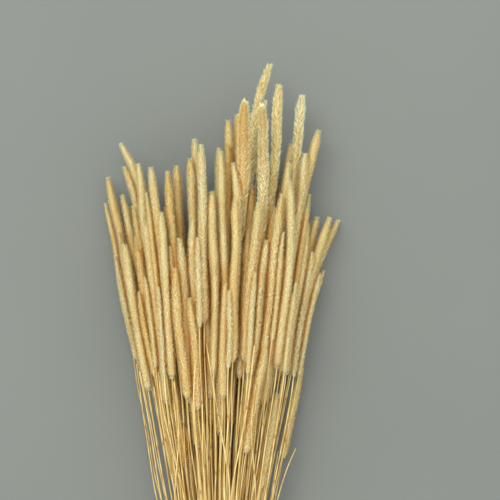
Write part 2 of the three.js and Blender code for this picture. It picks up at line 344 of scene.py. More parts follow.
def line_through(points):
    """A line with its frame and its length so far at each point."""
    along = unit(np.gradient(points, axis=0))
    side = unit(np.cross(along, (0, 0, 1)))
    up = np.cross(side, along)
    steps = np.linalg.norm(np.diff(points, axis=0), axis=1)
    reach = np.concatenate([[0], np.cumsum(steps)])
    return {"points": points, "side": side, "up": up, "reach": reach, "end": reach[-1]}


def middle_line(rings):
    """The smooth line of one stalk, and where its head starts and how thick it is."""
    y = np.arange(rings[0, 1], rings[-1, 1], STEP)
    x = eased(np.interp(y, rings[:, 1], rings[:, 0])) + wander(y)
    z = eased(np.interp(y, rings[:, 1], rings[:, 2])) + wander(y)
    line = line_through(np.stack([x, y, z], axis=1))
    thick = rings[:, 3] > THICK
    line["base"] = np.interp(rings[np.argmax(thick) - 1, 1], y, line["reach"])
    line["radius"] = rings[thick, 3].max()
    line["bare"] = False
    return line


lines = {name: [middle_line(rings) for rings in stalks] for name, stalks in rings_by_pair.items()}
every_line = [line for pair in lines.values() for line in pair]
lengths = np.array([line["end"] - line["base"] for line in every_line]) / MM
print("head lengths, mm:", lengths.min().round(), "to", lengths.max().round())

# %% [markdown]
# ## Slender stalks between the others
# In a real bundle, young stalks with slender heads and bare stems that have lost their heads fill
# the room between the full-grown ones. They could be scattered by chance, but then many would cut
# through a neighbour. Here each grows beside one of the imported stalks. Of twelve directions round
# that stalk, it takes the one that leaves the most room to every other head, and where there is no
# room for a head it stays a bare stem.

# %% Slender stalks
STEM_RADIUS = 0.66 * MM
STATIONS = TIE.y + np.arange(70, 440, 10) * MM
DIRECTIONS = np.radians(np.arange(0, 360, 30))
LOWEST_BASE = 222 * MM  # no slender head starts nearer to the tie than this
SQUEEZE = 1.3 * MM  # soft heads may press into each other by this much
SPREAD_OVER = 170 * MM  # this far from the tie, the slender stalk has reached its full distance
HELD_APART = 1.3 * MM  # from its neighbour at the tie, where both are bare stems
CUT_APART = 2.5 * MM  # and at most this far at the cut ends
SLENDER_RADII = (1.9 * MM, 2.6 * MM)
SLENDER_LENGTHS = (52 * MM, 95 * MM)
SHORTER_BY = (12 * MM, 85 * MM)  # how much lower than its neighbour's tip a slender head ends
BASES_VARY = 30 * MM
FAR_AWAY = 9.0  # metres: stands for "no stalk here"


def at_stations(line):
    """Where a line is at each station, and its radius there (far away where it has ended)."""
    y = line["points"][:, 1]
    reach = np.interp(STATIONS, y, line["reach"])
    x, z = (np.interp(STATIONS, y, line["points"][:, i]) for i in (0, 2))
    x = np.where(STATIONS > y[-1], FAR_AWAY, x)
    return np.array([x, z, np.where(reach > line["base"], line["radius"], STEM_RADIUS)])


def beside(parent, direction, distance, ends):
    """The line that runs beside another one, as far as the given length of it."""
    y = parent["points"][:, 1]
    spread = np.clip(np.abs(y - TIE.y) / SPREAD_OVER, 0, 1) ** 1.5
    apart = HELD_APART + (distance - HELD_APART) * spread
    apart = np.where(y < TIE.y, np.minimum(apart, CUT_APART), apart)[:, None]
    outwards = math.cos(direction) * parent["side"] + math.sin(direction) * parent["up"]
    points = parent["points"] + apart * outwards
    return line_through(points[parent["reach"] < ends])


print("stations where room is measured:", len(STATIONS))

# %% [markdown]
# ### Where each one grows
# A slender stalk tries all its directions and keeps the one with the most room. Soft heads may press
# into each other a little. If even the best direction is too tight, the stalk has lost its head.


# %% Growing them beside the others
def bare_stalk(parent, ends):
    """A stalk that lost its head, on the side of its neighbour that faces the middle of the pile."""
    x, z = parent["points"][-1, [0, 2]]
    inwards = math.atan2(PILE_MIDDLE - z, TIE.x - x)
    line = beside(parent, inwards, parent["radius"] + STEM_RADIUS, ends)
    line.update(bare=True, base=line["end"], radius=STEM_RADIUS)
    return line


def slender_stalk(parent, others):
    """A slender stalk beside this one, in the direction with the most room."""
    radius = rng.uniform(*SLENDER_RADII)
    length = rng.uniform(*SLENDER_LENGTHS)
    lowest_y = TIE.y + LOWEST_BASE + rng.uniform(0, BASES_VARY)
    lowest = np.interp(lowest_y, parent["points"][:, 1], parent["reach"])
    ends = max(parent["end"] - rng.uniform(*SHORTER_BY), lowest + length)
    fits = ends < parent["end"]
    best_room, best = -1, None
    for direction in DIRECTIONS:
        line = beside(parent, direction, parent["radius"] + radius, ends)
        line.update(bare=False, base=line["end"] - length, radius=radius)
        x, z, own = at_stations(line)
        headed = (x < FAR_AWAY) & (own > STEM_RADIUS)
        gaps = np.hypot(others[:, 0] - x, others[:, 1] - z) - others[:, 2] - own
        room = min(gaps[:, headed].min(), (z - own)[headed].min() + SQUEEZE / 2)
        if room > best_room:
            best_room, best = room, line
    if best_room < -SQUEEZE or not fits:
        return bare_stalk(parent, parent["base"] + rng.uniform(0, BASES_VARY))
    return best


taken = [at_stations(line) for line in every_line]
full_grown = len(every_line)
for name in pair_names:
    for parent in list(lines[name]):
        slender = slender_stalk(parent, np.array(taken))
        lines[name].append(slender)
        if not slender["bare"]:
            taken.append(at_stations(slender))
every_line = [line for pair in lines.values() for line in pair]
print("slender heads:", len(taken) - full_grown, "- bare stems:", sum(line["bare"] for line in every_line))

# %% [markdown]
# ## Bending a straight shape along a stalk
# Husks, cores and stems are all made straight first, where they are simple, and then carried onto
# their stalk. A Curve modifier can do that too, but it can twist where a stalk bends both ways.
# Here each point is placed by its distance along the stalk and by the small frame at that distance.
# Where a head presses on the table its soft husks are flattened, so nothing goes below the top.

# %% Bending
PRESSED = 0.4 * MM  # below this height the soft husks are pressed flat on the table


def on_stalk(line, along, sideways, upwards):
    """Points of a straight shape, carried onto a stalk: along it from the cut end, to its side and up."""
    rows = np.hstack([line["points"], line["side"], line["up"]]).T
    at = np.array([np.interp(along, line["reach"], row) for row in rows])
    middle, side, up = at.reshape(3, 3, -1)
    placed = middle + side * sideways + up * upwards
    past = along - line["end"]
    placed[1] += np.where(past > 0, past, 0)
    low = placed[2] < PRESSED
    placed[2, low] = PRESSED * np.exp(placed[2, low] / PRESSED - 1)
    return placed.T


print("husks are pressed flat below", round(PRESSED / MM, 2), "mm")

# %% [markdown]
# ## One husk, repeated in a spiral
# A seed head is not a smooth cylinder: it is packed with husks, each a small pod with a sharp point
# that stands out a little. A bump texture could hint at them, but the outline would stay smooth, and
# real hair would be lost when the model is exported. So the husks are real shapes. An Array modifier
# repeats one husk, and each copy turns by the golden angle and climbs a little, which is how the
# plant itself packs them. A husk has as few faces as can be, because a head needs thousands: the
# fine husk starts as a three-sided cone with four faces, and the coarse one as a ball with eight.

# %% The husks and their spiral
GOLDEN_ANGLE = math.radians(137.508)
husk_turn = bpy.data.objects.new("husk_turn", None)
husk_turn.rotation_euler.z = GOLDEN_ANGLE
husk_turn.location.z = 1
bpy.context.scene.collection.objects.link(husk_turn)


def husk_start(name, operator, **sizes):
    """The plain shape that one kind of husk starts from, with an Array that turns and climbs."""
    mesh = bpy.data.meshes.new(name)
    bm = bmesh.new()
    operator(bm, **sizes)
    bmesh.ops.recalc_face_normals(bm, faces=bm.faces)
    bm.to_mesh(mesh)
    bm.free()
    husk = bpy.data.objects.new(name, mesh)
    bpy.context.scene.collection.objects.link(husk)
    spiral = husk.modifiers.new("spiral", "ARRAY")
    spiral.use_relative_offset = False
    spiral.use_object_offset = True
    spiral.offset_object = husk_turn
    return husk


def spiral_of(husk, count):
    """A mesh of that many husks in a spiral, the corners of each one together."""
    husk.modifiers["spiral"].count = count
    ready = husk.evaluated_get(bpy.context.evaluated_depsgraph_get())
    return bpy.data.meshes.new_from_object(ready)


cone_sizes = {"cap_ends": True, "segments": 3, "radius1": 1, "radius2": 0, "depth": 1}
ball_sizes = {"u_segments": 4, "v_segments": 2, "radius": 1}
spike = husk_start("spike_husk", bmesh.ops.create_cone, **cone_sizes)
pod = husk_start("pod_husk", bmesh.ops.create_uvsphere, **ball_sizes)
for husk in (spike, pod):
    print(husk.name, "corners:", len(husk.data.vertices), "faces:", len(husk.data.polygons))

# %% [markdown]
# ## The husks' real shapes
# The corners of the plain shape become a husk's: a root inside the head, its sides, and the point.
# The coarse pod has a bulging back and an inner face as well. Fine husks make velvet, and coarse
# ones, bigger and further apart, make the almost wheat-like heads at the crown.

# %% Husk shapes
# Each corner has a place in millimetres: out from the head, to the side, and along it.
SPIKE_ROOT, SPIKE_POINT = (-1.1, 0.0, 0.0), (0.75, 0.0, 1.85)
SPIKE_LEFT, SPIKE_RIGHT = (-0.05, 0.42, 0.8), (-0.05, -0.42, 0.8)
POD_ROOT, POD_POINT = (-1.0, 0.0, 0.0), (1.1, 0.0, 2.7)
POD_BACK, POD_INSIDE = (0.5, 0.0, 1.2), (-0.6, 0.0, 1.0)
POD_LEFT, POD_RIGHT = (-0.1, 0.66, 1.1), (-0.1, -0.66, 1.1)
ball = [tuple(int(round(c)) for c in corner.co) for corner in pod.data.vertices]
POD_CORNERS = {
    (0, 0, -1): POD_ROOT,
    (1, 0, 0): POD_BACK,
    (-1, 0, 0): POD_INSIDE,
    (0, 1, 0): POD_LEFT,
    (0, -1, 0): POD_RIGHT,
    (0, 0, 1): POD_POINT,
}
SPIKE_PLACES = np.array([SPIKE_ROOT, SPIKE_LEFT, SPIKE_RIGHT, SPIKE_POINT]) * MM
POD_PLACES = np.array([POD_CORNERS[corner] for corner in ball]) * MM
# rise: how far the spiral climbs from husk to husk. stray: how far a husk strays from the spiral.
# inset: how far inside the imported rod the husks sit. deep: how far below them the core lies.
KINDS = {
    "fine": {
        "husk": spike,
        "places": SPIKE_PLACES,
        "rise": 0.054 * MM,
        "size": 1.05,
        "stray": 0.25,
        "inset": 0.5 * MM,
        "deep": 0.35 * MM,
    },
    "medium": {
        "husk": spike,
        "places": SPIKE_PLACES,
        "rise": 0.062 * MM,
        "size": 1.3,
        "stray": 0.2,
        "inset": 0.65 * MM,
        "deep": 0.45 * MM,
    },
    "coarse": {
        "husk": pod,
        "places": POD_PLACES,
        "rise": 0.21 * MM,
        "size": 1.3,
        "stray": 0.08,
        "inset": 0.9 * MM,
        "deep": 0.8 * MM,
    },
}
for name, kind in KINDS.items():
    kind["point"] = np.clip(kind["places"][:, 2] / kind["places"][:, 2].max(), 0, 1)
    kind["aside"] = 0.5 + kind["places"][:, 1] / np.ptp(kind["places"][:, 1])
    print(name, "husk length:", round(np.ptp(kind["places"][:, 2]) * kind["size"] / MM, 2), "mm")

# %% [markdown]
# ## The outline of a head
# A timothy head is a long cylinder with a blunt round base and a tip that narrows slowly to a
# rounded point, and it is never quite even: it swells and narrows a little as it goes. One formula
# gives the radius at any distance from the base, and each head has its own numbers for it, so no two
# are alike. Heads deep in the pile get painted shade, a darker and more golden tone, and the big ones
# at the crown are rough.

# %% Outline
BASE_ROUNDS = 4 * MM
BASE_SHARE = 0.5  # the radius at the very base as a share of the whole
TIP_NARROWS = 14 * MM
TIP_SHARE = 0.42  # the radius at the very tip as a share of the whole
LONG_SWELL, SHORT_SWELL = 0.035, 0.02  # how much the radius varies, as a share of it
SHORT_WAVE = 5 * MM


def outline(line, t):
    """The radius at distance t from the base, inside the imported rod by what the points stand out."""
    length = line["end"] - line["base"]
    base = np.sqrt(np.clip(t / BASE_ROUNDS, BASE_SHARE**2, 1))
    left = np.clip((length - t) / line["narrows"], 0, 1)
    tip = TIP_SHARE + (1 - TIP_SHARE) * (1 - (1 - left) ** line["blunt"])
    taper = 1 - line["taper"] * np.clip(t / length, 0, 1)
    long_wave = LONG_SWELL * np.sin(t / line["swell"] + line["phase"])
    short_wave = SHORT_SWELL * np.sin(t / SHORT_WAVE + line["phase"])
    whole_radius = line["radius"] - KINDS[line["kind"]]["inset"]
    return whole_radius * base * tip * taper * (1 + long_wave + short_wave)


HALF_FAN, PILE_TOP = 78 * MM, 72 * MM  # half the fan's width, and the height of the pile
CROWN = 412 * MM  # heads that reach further than this are rough
STOUT = 4 * MM  # and so are those that are thicker than this
MEDIUM_SHARE = 0.3
# painted shade: heads low and near the middle of the pile get a darker, more golden tone on top of their
# random one, by this much at the bottom
PAINTED_PILE_SHADE = 0.55  # of the shade, at the bottom of the pile
for line in every_line:
    line["narrows"] = TIP_NARROWS * rng.uniform(0.6, 1.7)
    line["blunt"] = rng.uniform(1.5, 2.4)
    line["taper"] = rng.uniform(0.0, 0.16)
    line["swell"] = rng.uniform(7, 14) * MM
    line["phase"] = rng.uniform(0, 2 * math.pi)
    middle = line["points"][np.searchsorted(line["reach"], (line["base"] + line["end"]) / 2) - 1]
    inside = 1 - min(abs(middle[0] - TIE.x) / HALF_FAN, 1) ** 2
    depth_in_pile = np.clip(1 - middle[2] / PILE_TOP, 0, 1) * inside
    line["shade"] = np.clip(rng.uniform(0.35, 1) - PAINTED_PILE_SHADE * depth_in_pile, 0, 1)
    rough = line["points"][-1, 1] > TIE.y + CROWN or line["radius"] > STOUT
    line["kind"] = "coarse" if rough else "medium" if rng.random() < MEDIUM_SHARE else "fine"
kinds = [line["kind"] for line in every_line]
print({kind: kinds.count(kind) for kind in KINDS})

# %% [markdown]
# ## The husks of one head
# The spiral gives the husks their faces, and this step gives each its place. Its distance from the
# base and its angle follow the spiral and stray from it a little, its size varies, and a sixth of
# them lean out as bristles, which breaks up the outline as on a real dry head. All this is worked
# out for every husk of a head at once, because a head has up to a few thousand of them.

# %% The husks of one head
BRISTLES, BRISTLE_LEAN = 0.16, 0.75  # the share of husks that stand out, and by how many millimetres
USUAL_LEAN, ASIDE_LEAN = 0.2, 0.12  # how much the others lean, out and to the side, in millimetres
SMALLEST, LARGEST = 0.75, 1.2  # sizes of husks in one head
LAST_HUSK = 1.0 * MM  # the spiral stops this far below the tip
LEAST_OUT = 0.15 * MM  # no corner is nearer to the stalk's middle line than this
TILE_EDGE = 0.06  # unused border of a husk's tile on the map
USUAL_RADIUS = 3.3 * MM  # a thicker head has more husks to the millimetre, a slender one fewer
END_HUSKS = 0.62  # size of the husks at the very tip as a share of the others


def head_husks(line):
    """The husks of one head as a mesh, and what its corners carry for the material."""
    kind = KINDS[line["kind"]]
    places, point, corners = kind["places"], kind["point"], len(kind["places"])
    length = line["end"] - line["base"]
    rise = kind["rise"] * USUAL_RADIUS / line["radius"]
    count = int((length - LAST_HUSK) / rise)
    mesh = spiral_of(kind["husk"], count)
    numbers = np.arange(count)
    t = np.clip(numbers * rise + rng.normal(0, kind["stray"], count) * MM, 0, length)
    angle = numbers * GOLDEN_ANGLE + line["phase"] + rng.normal(0, kind["stray"], count)
    near_end = np.clip((length - t) / line["narrows"], 0, 1)
    end_size = END_HUSKS + (1 - END_HUSKS) * near_end
    size = (kind["size"] * rng.uniform(SMALLEST, LARGEST, count) * end_size)[:, None]
    bristle = rng.random(count) < BRISTLES
    lean = (np.abs(rng.normal(0, USUAL_LEAN, count)) + BRISTLE_LEAN * bristle)[:, None] * MM
    aside_lean = rng.normal(0, ASIDE_LEAN, count)[:, None] * MM
    out = outline(line, t)[:, None] + places[:, 0] * size + lean * point**2
    out = np.maximum(out, LEAST_OUT)
    sideways = places[:, 1] * size + aside_lean * point
    along = t[:, None] + places[:, 2] * size
    x = out * np.cos(angle)[:, None] - sideways * np.sin(angle)[:, None]
    y = out * np.sin(angle)[:, None] + sideways * np.cos(angle)[:, None]
    points = on_stalk(line, (line["base"] + along).ravel(), x.ravel(), y.ravel())
    mesh.vertices.foreach_set("co", points.astype(np.float32).ravel())
    carried = {
        "point": np.tile(point, count),
        "grain": np.repeat(rng.uniform(0, 1, count), corners),
    }
    columns = math.ceil(math.sqrt(count / 2))
    rows = math.ceil(count / columns)
    column, row = np.divmod(numbers, rows)
    tile = 1 - 2 * TILE_EDGE
    carried["u"] = ((column[:, None] + TILE_EDGE + tile * kind["aside"]) / columns).ravel()
    carried["v"] = ((row[:, None] + TILE_EDGE + tile * point) / rows).ravel()
    return mesh, carried


print("bristles:", round(BRISTLES * 100), "in a hundred husks")

# %% [markdown]
# ## One straight tube for stems and cores
# The stem is a hollow straw, cut square at its lower end. It starts as a cylinder that is
# subdivided into rings, with its lower cap inset and pushed in to show that it is hollow. It isn't
# hollow all the way, because nobody can see further in. The same tube, fatter and just below the
# husks, is the core that closes each head.

# %% The tube
TUBE_RINGS = 66
TUBE_SIDES = 8
HOLLOW = 0.62  # inner radius of the cut end as a share of the outer
HOLLOW_DEPTH = 0.9  # in rings
HOLLOW_ON_MAP = 0.01  # the hollow end's share of the tube's strip of the map
bm = bmesh.new()
bmesh.ops.create_cone(bm, cap_ends=True, segments=TUBE_SIDES, radius1=1, radius2=1, depth=TUBE_RINGS)
bmesh.ops.translate(bm, verts=bm.verts, vec=(0, 0, TUBE_RINGS / 2))
uprights = [edge for edge in bm.edges if abs(edge.verts[0].co.z - edge.verts[1].co.z) > 1]
bmesh.ops.subdivide_edges(bm, edges=uprights, cuts=TUBE_RINGS - 1)
floor_cap = min(bm.faces, key=lambda face: face.calc_center_median().z)
bmesh.ops.inset_individual(bm, faces=[floor_cap], thickness=1 - HOLLOW)
pushed = bmesh.ops.extrude_discrete_faces(bm, faces=[floor_cap])
sunk = pushed["faces"][0]
bmesh.ops.translate(bm, verts=sunk.verts, vec=(0, 0, HOLLOW_DEPTH))
tube_mesh = bpy.data.meshes.new("tube")
bm.to_mesh(tube_mesh)
print("tube:", len(bm.verts), "corners,", len(bm.faces), "faces")
bm.free()
tube = np.array([corner.co for corner in tube_mesh.vertices])


def tube_on(line, places_along, radii):
    """The tube bent along a stalk, with a place and a radius for each of its rings."""
    mesh = tube_mesh.copy()
    ring = tube[:, 2]
    numbers = np.arange(TUBE_RINGS + 1)
    along = np.interp(ring, numbers, places_along)
    radius = np.interp(ring, numbers, radii)
    points = on_stalk(line, along, tube[:, 0] * radius, tube[:, 1] * radius)
    mesh.vertices.foreach_set("co", points.astype(np.float32).ravel())
    inside = 1 - np.clip(np.hypot(tube[:, 0], tube[:, 1]), 0, 1)
    carried = {"u": (tube[:, 0] + 1) / 2, "v": ring / TUBE_RINGS + inside * HOLLOW_ON_MAP}
    return mesh, carried


# %% [markdown]
# ## The stem and the core of one stalk
# A grass stem has two or three slightly swollen joints, and it gets thinner towards the head. The
# tube has rings to spare on a straight stem, so seven of them are moved to each joint, where the
# shape changes fast, and the rest are spread evenly. The core follows the head's outline a little
# below the husks, so that no gap between them shows daylight.

# %% Stem and core
JOINT_WIDTH = 1.5 * MM
JOINT_SWELL = 0.3
ROUND_JOINT = np.array([-2, -1, -0.5, 0, 0.5, 1, 2]) * JOINT_WIDTH  # the rings round each joint
JOINT_GAPS = [(50, 130), (120, 170), (110, 160)]  # from the cut end, and from joint to joint, in mm
CLEAR_OF_HEAD = 12 * MM
INTO_HEAD = 9 * MM
THINNEST_STEM = 0.78  # of the usual radius, on the darkest stalks
STEM_TAPER = 0.25
CORE_STARTS, CORE_ENDS = 0.02, 0.985  # shares of the head's length
THINNEST_CORE = 0.3 * MM
CORE_ROUNDING = 0.4  # radius of its first and last ring as a share
# painted shade: the core takes the darker colour of the husks' roots, where it shows between them
CORE_POINT, CORE_GRAIN = 0.15, 0.5  # the core is coloured like the roots of the husks


def stem_of(line):
    """The straw from the cut end to a little way into the head."""
    top = line["end"] if line["bare"] else line["base"] + INTO_HEAD
    joints = np.cumsum([rng.uniform(*gap) for gap in JOINT_GAPS]) * MM
    joints = joints[joints < line["base"] - CLEAR_OF_HEAD]
    special = (joints[:, None] + ROUND_JOINT).ravel()
    plain = np.linspace(0, top, TUBE_RINGS + 1 - len(special))
    rings = np.sort(np.concatenate([plain, special]))
    swell = np.exp(-((rings[:, None] - joints) ** 2) / JOINT_WIDTH**2).sum(axis=1)
    thickness = STEM_RADIUS * (THINNEST_STEM + (1 - THINNEST_STEM) * line["shade"])
    radii = thickness * (1 - STEM_TAPER * rings / top) * (1 + JOINT_SWELL * swell)
    mesh, carried = tube_on(line, rings, radii)
    carried["joint"] = np.interp(tube[:, 2], np.arange(TUBE_RINGS + 1), np.clip(swell, 0, 1))
    return mesh, carried


def core_of(line):
    """The closed core inside the husks."""
    length = line["end"] - line["base"]
    t = np.linspace(CORE_STARTS, CORE_ENDS, TUBE_RINGS + 1) * length
    radii = np.maximum(outline(line, t) - KINDS[line["kind"]]["deep"], THINNEST_CORE)
    radii[[0, -1]] *= CORE_ROUNDING
    mesh, carried = tube_on(line, line["base"] + t, radii)
    carried["point"] = np.full(len(tube), CORE_POINT)
    carried["grain"] = np.full(len(tube), CORE_GRAIN)
    return mesh, carried


print("rings moved to each joint:", len(ROUND_JOINT), "of", TUBE_RINGS + 1)

# %% [markdown]
# ## The material of the heads
# Dry husks are straw-coloured: pale cream at their points and a deeper gold at their roots. Part of
# that is painted light: a painted highlight on the points, where they are thin and catch the light,
# and painted shade on the roots, which lie deep between the husks. A picture could be wrapped round
# each head, but here the mesh carries how far each corner is towards the point of its husk, and the
# colour follows that. Each husk and each stalk also has a tone of its own, with painted shade on the
# stalks deep in the pile, and cloudy streaks run along the heads. Light that gets deep into a gap
# between heads turns golden on its way, and an Ambient Occlusion node, which measures how hidden a
# spot is, paints that golden shade into the colour of the gaps. Dry husks are dull, so there is little
# gloss, a faint sheen for the finest hairs, and a little light passing through.

# %% Material of the heads
GAP_DEPTH = 9 * MM  # a spot with nothing nearer than this in front of it counts as open
head_straw, tree, shader = new_material("seed_head_straw")
point = attribute(tree, "point")
# from root to point: deep gold to pale cream, partly the husk's own colour, with painted shade at the roots
# and a painted highlight at the points
root_to_point = [
    (0.0, (0.54, 0.42, 0.17)),
    (0.42, (0.72, 0.73, 0.46)),
    (0.7, (0.76, 0.84, 0.60)),
    (1.0, (0.78, 0.88, 0.71)),
]
husk_tone = ramp(tree, point, root_to_point)
husk_by_husk = [(0.0, (0.84, 0.79, 0.70)), (0.5, (1, 1, 1)), (1.0, (1.05, 1.05, 1.06))]
grain = ramp(tree, attribute(tree, "grain"), husk_by_husk)
toned = multiplied(tree, husk_tone, grain)
# each stalk's own random tone, darker and more golden where painted shade lies deep in the pile
stalk_by_stalk = [(0.0, (0.96, 0.82, 0.55)), (0.45, (1, 0.99, 0.95)), (1.0, (0.98, 1.02, 1.08))]
shade = ramp(tree, attribute(tree, "shade"), stalk_by_stalk)
toned = multiplied(tree, toned, shade)
streaks = stretched_noise(tree, 420, 3, (1, 0.08, 1))
streaky = ramp(tree, streaks, [(0.36, (0.95, 0.88, 0.73)), (0.56, (1, 1, 1))])
toned = multiplied(tree, toned, streaky)
# painted shade: the gaps between heads are coloured a darker gold by how hidden they are
gap_shade_to_open = [(0.04, (1.3, 0.6, 0.02)), (0.2, (1.15, 0.9, 0.48)), (0.4, (1.01, 1.0, 0.98))]
gap_shade_paint = painted_gap_shade(tree, GAP_DEPTH, gap_shade_to_open)
toned = multiplied(tree, toned, gap_shade_paint)
tree.links.new(toned, shader.inputs["Base Color"])
shader.inputs["Roughness"].default_value = 0.82
shader.inputs["Specular IOR Level"].default_value = 0.08
shader.inputs["Sheen Weight"].default_value = 0.05
shader.inputs["Sheen Roughness"].default_value = 0.55
shader.inputs["Sheen Tint"].default_value = (1.0, 0.9, 0.7, 1)
shader.inputs["Subsurface Weight"].default_value = 0.1
shader.inputs["Subsurface Radius"].default_value = (1.0, 0.45, 0.12)
shader.inputs["Subsurface Scale"].default_value = 2.5 * MM
veins = stretched_noise(tree, 2600, 2, (1, 0.12, 1))
bump = add(tree, "ShaderNodeBump", {"Height": veins, "Strength": 0.35, "Distance": 0.1 * MM})
tree.links.new(bump.outputs["Normal"], shader.inputs["Normal"])
print("nodes in the material of the heads:", len(tree.nodes))

# %% [markdown]
# ## The material of the stems
# A dry stem is a golden, slightly glossy straw with fine grooves along it. Noise that is stretched
# fifty times or more along the bundle makes the grooves and the streaks of lighter and darker straw.
# It needs no unwrapping, because all the stems run nearly the same way. The joints are a darker brown,
# where the mesh says so. Painted shade makes the gaps between the stems golden like those between the
# heads, and the tone of each stalk carries painted shade where it lies deep in the pile.

# %% Material of the stems
stem_straw, tree, shader = new_material("stem_straw")
streaks = stretched_noise(tree, 900, 4, (1, 0.02, 1))
dark_to_pale = [
    (0.3, (0.42, 0.26, 0.07)),
    (0.48, (0.60, 0.45, 0.17)),
    (0.62, (0.70, 0.58, 0.28)),
    (0.8, (0.78, 0.70, 0.43)),
]
gold = ramp(tree, streaks, dark_to_pale)
# each stalk's own random tone, darker where painted shade lies deep in the pile
stalk_by_stalk = [(0.0, (0.86, 0.79, 0.66)), (0.5, (1, 0.98, 0.94)), (1.0, (1.06, 1.06, 1.05))]
shade = ramp(tree, attribute(tree, "shade"), stalk_by_stalk)
gold = multiplied(tree, gold, shade)
joint_brown = (0.36, 0.19, 0.06, 1)
gold = blend_colours(tree, "MIX", attribute(tree, "joint"), gold, joint_brown)
# painted shade: the gaps between stems are coloured a darker gold by how hidden they are
gap_shade_to_open = [(0.04, (1.4, 0.58, 0.02)), (0.22, (1.18, 0.88, 0.45)), (0.42, (1, 1, 1))]
gap_shade_paint = painted_gap_shade(tree, GAP_DEPTH, gap_shade_to_open)
gold = multiplied(tree, gold, gap_shade_paint)
tree.links.new(gold, shader.inputs["Base Color"])
gloss = ramp(tree, streaks, [(0.3, (0.55, 0.55, 0.55)), (0.7, (0.36, 0.36, 0.36))])
tree.links.new(gloss, shader.inputs["Roughness"])
shader.inputs["Specular IOR Level"].default_value = 0.3
grooves = stretched_noise(tree, 3800, 2, (1, 0.015, 1))
bump = add(tree, "ShaderNodeBump", {"Height": grooves, "Strength": 0.5, "Distance": 0.08 * MM})
tree.links.new(bump.outputs["Normal"], shader.inputs["Normal"])
print("nodes in the material of the stems:", len(tree.nodes))

# %% [markdown]
# ## Growing the stalks
# Each packed pair of stalks becomes one piece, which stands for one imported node. It holds the two
# full-grown stalks and the slender or bare one beside each of them: four stems, with a core and a
# coat of husks wherever there is a head. The parts are joined in one bmesh, and the numbers that the
# materials read are written on the joined mesh as attributes. Unwrapping so many husks would take
# long, so the UV map is laid out by rule, and every husk gets a tile of its own. Carrying the
# straight shapes onto a stalk mirrors them, so their faces point inwards. That is an open fault.

# %% Pieces from the pairs
HEAD_SLOT, STEM_SLOT = 0, 1
CARRIED = ("point", "grain", "shade", "joint")  # what the materials read from the mesh
MAP_NAME = "OFBake"
# Each stalk has a share of the map, with a wide part for its husks and two strips for its tubes.
MAP_PARTS = {"husks": (0.0, 0.84), "core": (0.86, 0.07), "stem": (0.94, 0.05)}


def stalk_parts(line):
    """(part name, mesh, carried numbers) for everything on one stalk."""
    if line["bare"]:
        return [("stem", *stem_of(line))]
    return [("husks", *head_husks(line)), ("core", *core_of(line)), ("stem", *stem_of(line))]


def grow_piece(name, stalks):
    """One piece of all these stalks."""
    bm = bmesh.new()
    columns = {key: [] for key in (*CARRIED, "u", "v")}
    slots, rounded = [], []
    for place, line in enumerate(stalks):
        for part, mesh, carried in stalk_parts(line):
            bm.from_mesh(mesh)
            corners = len(mesh.vertices)
            slots += [STEM_SLOT if part == "stem" else HEAD_SLOT] * len(mesh.polygons)
            rounded += [part != "husks"] * len(mesh.polygons)
            start, width = MAP_PARTS[part]
            carried["u"] = (place + start + width * carried["u"]) / len(stalks)
            carried["shade"] = np.full(corners, line["shade"])
            for key, column in columns.items():
                column.append(carried.get(key, np.zeros(corners)))
            bpy.data.meshes.remove(mesh)
    mesh = bpy.data.meshes.new(name)
    bm.to_mesh(mesh)
    bm.free()
    mesh.materials.append(head_straw)
    mesh.materials.append(stem_straw)
    mesh.polygons.foreach_set("material_index", np.array(slots, dtype=np.int32))
    mesh.polygons.foreach_set("use_smooth", np.array(rounded))
    joined = {key: np.concatenate(column) for key, column in columns.items()}
    for key in CARRIED:
        layer = mesh.attributes.new(key, "FLOAT", "POINT")
        layer.data.foreach_set("value", joined[key].astype(np.float32))
    corner_of = np.empty(len(mesh.loops), dtype=np.int32)
    mesh.loops.foreach_get("vertex_index", corner_of)
    tiles = np.stack([joined["u"], joined["v"]], axis=1)[corner_of]
    mesh.uv_layers.new(name=MAP_NAME).data.foreach_set("uv", tiles.astype(np.float32).ravel())
    mesh.update()
    piece = bpy.data.objects.new(mesh.name, mesh)
    bpy.context.scene.collection.objects.link(piece)
    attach(piece, "root")
    return piece


print("parts of one stalk:", ", ".join(MAP_PARTS))

# %% [markdown]
# ### One piece for each pair
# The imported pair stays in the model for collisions, where its few faces are an advantage.

# %% All the stalks
stalk_pieces = []
for name in pair_names:
    piece = grow_piece(name.replace("stalk_pair", "stalks"), lines[name])
    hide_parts(name)
    stalk_pieces.append(piece)
faces = [len(piece.data.polygons) for piece in stalk_pieces]
print("stalk pieces:", len(faces), "- faces:", sum(faces), "- in the largest:", max(faces))

# %% [markdown]
# ## Loose stems
# A few bare stems aren't pressed in with the rest. They lie loosely over the others, cross them at
# a slight angle and end in a broken tip, and one bends away on the right. Only their way across is
# given as a list. A physics simulation could drop them on the pile, but it is enough to look, at
# each step, for the highest stalk underneath and to ease the line that this gives.

